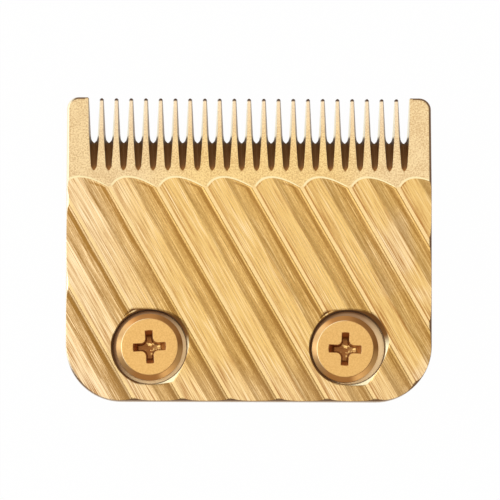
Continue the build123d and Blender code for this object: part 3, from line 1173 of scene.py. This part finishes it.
@dataclass(frozen=True)
class BladeScrew:
    """One pan-headed screw with a cross recess and a cut thread.

    Its seat is where the head's underside meets its counterbore, in millimetres. Its turn is the recess's.
    """

    name: str
    form: ScrewForm
    seat: Point
    turn_deg: float

    def rings(self) -> list[list[Point]]:
        """Lays rings of points from the screw's tip over its head and down into the recess.

        Returns:
            The rings, each with the same number of points.
        """
        angles = [math.atan2(y, x) for x, y in self.form.cross_ring(0.0, self.form.edge_break)]
        rings = self.shank(angles)
        rings += [circle(angles, radius, z) for radius, z in self.head()]
        return rings + self.recess()

    def shank(self, angles: Sequence[float]) -> list[list[Point]]:
        """Lays the rings of the threaded shank.

        Args:
            angles: Angles of the points of each ring, in radians.

        Returns:
            The rings, from the tip up.
        """
        form = self.form
        rings = [circle(angles, radius, -form.length) for radius in form.tip_rings]
        threaded = form.length - form.neck_length
        rows = int(threaded / form.thread_pitch * form.thread_rows)
        for row in range(rows + 1):
            z = -form.length + threaded * row / rows
            reaches = [form.thread_reach(z, angle) for angle in angles]
            rings.append([(r * math.cos(a), r * math.sin(a), z) for r, a in zip(reaches, angles)])
        run_out = form.thread_radius - form.neck_radius
        rings.append(circle(angles, form.neck_radius, -form.neck_length + run_out))
        return rings

    def head(self) -> list[tuple[float, float]]:
        """Draws the neck and the head in section.

        Returns:
            Radius and height of each point, from the neck over the rim to the flat top.
        """
        form = self.form
        outline = [(form.neck_radius, form.neck_ring), (form.neck_radius, 0.0)]
        outline += [(radius, 0.0) for radius in form.underside_rings]
        outline += [(form.head_radius - form.edge_break, 0.0), (form.head_radius, form.edge_break)]
        outline += [(form.head_radius, form.rim_height / 2)]
        outline += self.rim()
        return outline + [(radius, form.head_height) for radius in form.flat_rings]

    def recess(self) -> list[list[Point]]:
        """Lays the rings of the cross recess.

        Returns:
            The rings, from the edge of the recess down to its floor.
        """
        form = self.form
        top = form.head_height
        rings = [[(x, y, top) for x, y in form.cross_ring(0.0, form.edge_break)]]
        for depth in form.recess_rings:
            rings.append([(x, y, top - depth) for x, y in form.cross_ring(depth)])
        floor = form.cross_ring(form.recess_depth)
        for share, drop in form.recess_floor_rings:
            rings.append([(x * share, y * share, top - form.recess_depth - drop) for x, y in floor])
        return rings

    def rim(self) -> list[tuple[float, float]]:
        """Draws the sloping rim of the head in section, which joins the flat top in a round.

        Returns:
            Radius and height of each point, from the side wall up.
        """
        form = self.form
        rise = form.head_height - form.rim_height
        slope = math.atan2(rise, form.head_radius - form.flat_radius)
        middle_radius = form.flat_radius - form.rim_round * math.tan(slope / 2)
        middle_z = form.head_height - form.rim_round
        arc = []
        for step in range(form.rim_steps + 1):
            turn = slope * (1 - step / form.rim_steps)
            radius = middle_radius + form.rim_round * math.sin(turn)
            arc.append((radius, middle_z + form.rim_round * math.cos(turn)))
        foot = (form.head_radius, form.rim_height)
        points = [foot]
        for share in form.slope_rings:
            points.append(tuple(low + (high - low) * share for low, high in zip(foot, arc[0])))
        return points + arc

    def build(self, finish: ScrewFinish) -> bpy.types.Object:
        """Makes the screw's mesh, dresses it and seats it.

        Args:
            finish: Coat of the screw.

        Returns:
            The piece.
        """
        rings = self.rings()
        columns = len(rings[0])
        points = [(x * MM, y * MM, z * MM) for ring in rings for x, y, z in ring]
        faces = []
        for low in range(len(rings) - 1):
            for column in range(columns):
                after = (column + 1) % columns
                first, second = low * columns, (low + 1) * columns
                faces.append((first + column, first + after, second + after, second + column))
        faces.append(tuple(reversed(range(columns))))
        last = (len(rings) - 1) * columns
        faces.append(tuple(range(last, last + columns)))
        mesh = bpy.data.meshes.new(self.name)
        mesh.from_pydata(points, [], faces)
        mesh.validate()
        mesh.shade_smooth()
        mesh.set_sharp_from_angle(angle=math.radians(self.form.crease_deg))
        mesh.materials.append(finish.material(self.form))
        piece = add_object(self.name, mesh)
        piece.location = Vector(self.seat) * MM
        piece.rotation_euler = (0.0, 0.0, math.radians(self.turn_deg))
        return piece


class ScrewSide(Enum):
    """The two screw holes: name of the piece, sign of x, and turn of the driver recess."""

    LEFT = ("blade_screw_left", -1, 3.0)
    RIGHT = ("blade_screw_right", 1, -2.0)

    def __init__(self, piece: str, sign: int, turn_deg: float) -> None:
        """Names the three parts."""
        self.piece, self.sign, self.turn_deg = piece, sign, turn_deg


@dataclass
class ScrewPair:
    """The two screws that lie in the blade's counterbores."""

    form: ScrewForm
    finish: ScrewFinish
    node: str = "blade_screws"
    slot: str = "coated_screw_steel"

    def seat_of(self, side: ScrewSide, packed: bpy.types.Object) -> Point:
        """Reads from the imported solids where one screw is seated.

        Args:
            side: Which screw.
            packed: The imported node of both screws.

        Returns:
            Middle of the head's underside, in millimetres.
        """
        corners = [v.co / MM for v in packed.data.vertices if v.co.x * side.sign > 0]
        middle_x = (min(c.x for c in corners) + max(c.x for c in corners)) / 2
        middle_y = (min(c.y for c in corners) + max(c.y for c in corners)) / 2
        return (middle_x, middle_y, max(c.z for c in corners) - self.form.head_height)

    def build(self, packed: bpy.types.Object) -> list[bpy.types.Object]:
        """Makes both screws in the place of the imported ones.

        Args:
            packed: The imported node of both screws.

        Returns:
            The two pieces.
        """
        pieces = []
        for side in ScrewSide:
            screw = BladeScrew(side.piece, self.form, self.seat_of(side, packed), side.turn_deg)
            piece = screw.build(self.finish)
            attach(piece, BODY)
            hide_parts(self.node)
            pieces.append(piece)
        return pieces


@dataclass(frozen=True)
class FixedBlade:
    """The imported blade, which gets its finish here."""

    form: BladeForm
    finish: CoatedBladeFinish
    slot: str = "coated_blade_steel"

    def dress(self, packed: bpy.types.Object) -> bpy.types.Object:
        """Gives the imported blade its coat.

        Args:
            packed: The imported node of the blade.

        Returns:
            The same object.
        """
        packed.data.materials.clear()
        packed.data.materials.append(self.finish.material(self.form))
        return packed


@dataclass(frozen=True)
class Softbox:
    """A rectangular studio light that shines at the blade. Its angles are how far right and up it hangs."""

    name: str
    right_deg: float
    up_deg: float
    distance: float
    width: float
    height: float
    brightness: float
    colour: Rgb = (1.0, 1.0, 1.0)

    def hang(self, target: Vector) -> bpy.types.Object:
        """Hangs the light.

        Args:
            target: Point that it shines at, in metres.

        Returns:
            The lamp.
        """
        lamp = bpy.data.lights.new(self.name, "AREA")
        lamp.shape = "RECTANGLE"
        lamp.size, lamp.size_y = self.width, self.height
        lamp.energy = self.brightness * math.pi * self.width * self.height
        lamp.color = self.colour
        made = add_object(self.name, lamp)
        right, up = math.tan(math.radians(self.right_deg)), math.tan(math.radians(self.up_deg))
        direction = Vector((right, up, 1.0)).normalized()
        made.location = target + direction * self.distance
        made.rotation_euler = direction.to_track_quat("Z", "Y").to_euler()
        return made


# Name, degrees right and up, distance, width and height in metres, brightness, colour
LIGHTS = (
    Softbox("softbox_key", 11.0, 17.0, 0.8, 0.9, 1.1, 0.92),
    Softbox("softbox_fill", -30.0, -12.0, 0.8, 0.4, 0.8, 0.55, (1.0, 0.95, 0.87)),
    Softbox("panel_left_high", -50.0, 8.0, 0.7, 0.2, 0.9, 1.15),
    Softbox("panel_left", -69.0, 14.0, 0.7, 0.4, 0.9, 0.82),
    Softbox("panel_top", -28.0, 60.0, 0.8, 0.8, 0.4, 0.55),
    Softbox("panel_high_left", -50.0, 50.0, 0.8, 0.45, 0.45, 1.3),
    Softbox("panel_low_right", 46.0, -50.0, 0.8, 0.4, 0.4, 0.4, (1.0, 0.8, 0.65)),
    Softbox("panel_low", -6.0, -52.0, 0.8, 1.0, 0.55, 0.5, (1.0, 0.92, 0.82)),
)


@dataclass(frozen=True)
class PhotoCamera:
    """The photograph's viewpoint: nearly square on, from far off. Tilts are degrees, pixels are its own."""

    distance: float = 0.68
    tilt_x_deg: float = -4.4
    tilt_y_deg: float = 0.8
    tilt_z_deg: float = -0.13
    pixels_per_mm: float = 8.111
    picture_pixels: float = 500.0
    middle_px: tuple[float, float] = (248.92, 249.25)
    middle: Point = (0.0, 12.15, 1.5)
    sensor_mm: float = 36.0
    clip: Span = (0.01, 20.0)

    def place(self) -> bpy.types.Object:
        """Sets up the camera.

        Returns:
            The camera.
        """
        data = bpy.data.cameras.new("photo_camera")
        data.sensor_width = self.sensor_mm
        data.lens = self.sensor_mm * self.distance / MM * self.pixels_per_mm / self.picture_pixels
        data.clip_start, data.clip_end = self.clip
        made = add_object("photo_camera", data)
        turn = (
            Matrix.Rotation(math.radians(self.tilt_z_deg), 3, "Z")
            @ Matrix.Rotation(math.radians(self.tilt_x_deg), 3, "X")
            @ Matrix.Rotation(math.radians(self.tilt_y_deg), 3, "Y")
        )
        back = turn.transposed()
        half = self.picture_pixels / 2
        slide = Vector((half - self.middle_px[0], self.middle_px[1] - half, 0.0)) / self.pixels_per_mm
        made.matrix_world = Matrix.Translation(
            (Vector(self.middle) + back @ slide) * MM + back @ Vector((0.0, 0.0, self.distance))
        ) @ back.to_4x4()
        return made


@dataclass(frozen=True)
class Studio:
    """Pale floor, soft lights and the camera."""

    camera: PhotoCamera
    lights: Sequence[Softbox]
    surround: Rgb = (0.17, 0.13, 0.105)
    wall: Rgb = (0.7, 0.66, 0.6)
    wall_top: Span = (0.25, 0.5)
    floor_size: float = 6.0
    floor_colour: Rgb = (0.9, 0.9, 0.9)
    floor_white: float = 0.985

    def floor(self, height: float) -> bpy.types.Object:
        """Lays the floor under the blade.

        Args:
            height: Height of the floor, in metres.

        Returns:
            The floor.
        """
        half = self.floor_size / 2
        outline = ((-half, -half), (half, -half), (half, half), (-half, half))
        corners = [(x, y, height) for x, y in outline]
        mesh = bpy.data.meshes.new("pale_floor")
        mesh.from_pydata(corners, [], [(0, 1, 2, 3)])
        mesh.materials.append(self.floor_material())
        made = add_object("pale_floor", mesh)
        made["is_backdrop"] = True
        return made

    def floor_material(self) -> bpy.types.Material:
        """Makes the floor's material: white to the eye and in reflections, a little shaded by the blade.

        Returns:
            The material.
        """
        made = bpy.data.materials.new("pale_floor")
        graph = Graph(made)
        path = graph.node("ShaderNodeLightPath")
        seen = graph.value(path, "Is Camera Ray").most(graph.value(path, "Is Glossy Ray"))
        seen = seen.most(graph.value(path, "Is Transmission Ray"))
        matt = graph.node("ShaderNodeBsdfDiffuse", {"Color": self.floor_colour})
        white = graph.node("ShaderNodeEmission", {"Color": (1.0, 1.0, 1.0), "Strength": 1.0})
        shaders = {0: seen * self.floor_white, 1: graph.wire(matt), 2: graph.wire(white)}
        mixed = graph.node("ShaderNodeMixShader", shaders)
        graph.node("ShaderNodeOutputMaterial", {"Surface": graph.wire(mixed)})
        return made

    def world(self) -> bpy.types.World:
        """Makes the room round the lights, dim overhead and with pale walls.

        Returns:
            The room.
        """
        made = bpy.data.worlds.new("studio_room")
        graph = Graph(made)
        heading = graph.wire(graph.node("ShaderNodeTexCoord"), "Generated")
        low = graph.parts(heading)[2].fall(*self.wall_top)
        colour = graph.blend(low, self.surround, self.wall)
        light = graph.node("ShaderNodeBackground", {"Color": colour, "Strength": 1.0})
        graph.node("ShaderNodeOutputWorld", {"Surface": graph.wire(light)})
        return made

    def set_up(self, lowest: float) -> None:
        """Builds the whole studio.

        Args:
            lowest: Height of the blade's lowest point, in metres.
        """
        target = Vector(self.camera.middle) * MM
        self.floor(lowest)
        for light in self.lights:
            light.hang(target)
            LOG.info("light %s", light.name)
        scene = bpy.context.scene
        scene.world = self.world()
        scene.camera = self.camera.place()
        scene.view_settings.view_transform = "Standard"


def mount_spacing(record: Mapping[str, Any], name: str) -> float:
    """Reads the spacing of one mount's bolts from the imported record, in millimetres."""
    mounts: Iterable[Mapping[str, Any]] = record["mounts"]
    return next(mount["dims"]["spacing_x_mm"] for mount in mounts if mount["name"] == name)


def main() -> None:
    """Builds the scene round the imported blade."""
    logging.basicConfig(level=logging.INFO, format="%(name)s: %(message)s")
    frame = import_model()
    packed_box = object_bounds()
    _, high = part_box("fixed_blade")
    form = BladeForm(high.z / MM, high.y / MM, mount_spacing(frame["record"], "screw_pair"))
    blade = FixedBlade(form, CoatedBladeFinish()).dress(frame["nodes"]["fixed_blade"])
    LOG.info("piece %s", blade.name)
    screws = ScrewPair(ScrewForm(), ScrewFinish())
    for piece in screws.build(frame["nodes"][screws.node]):
        LOG.info("piece %s", piece.name)
    Studio(PhotoCamera(), LIGHTS).set_up(packed_box[0].z)


if __name__ == "__main__":
    main()
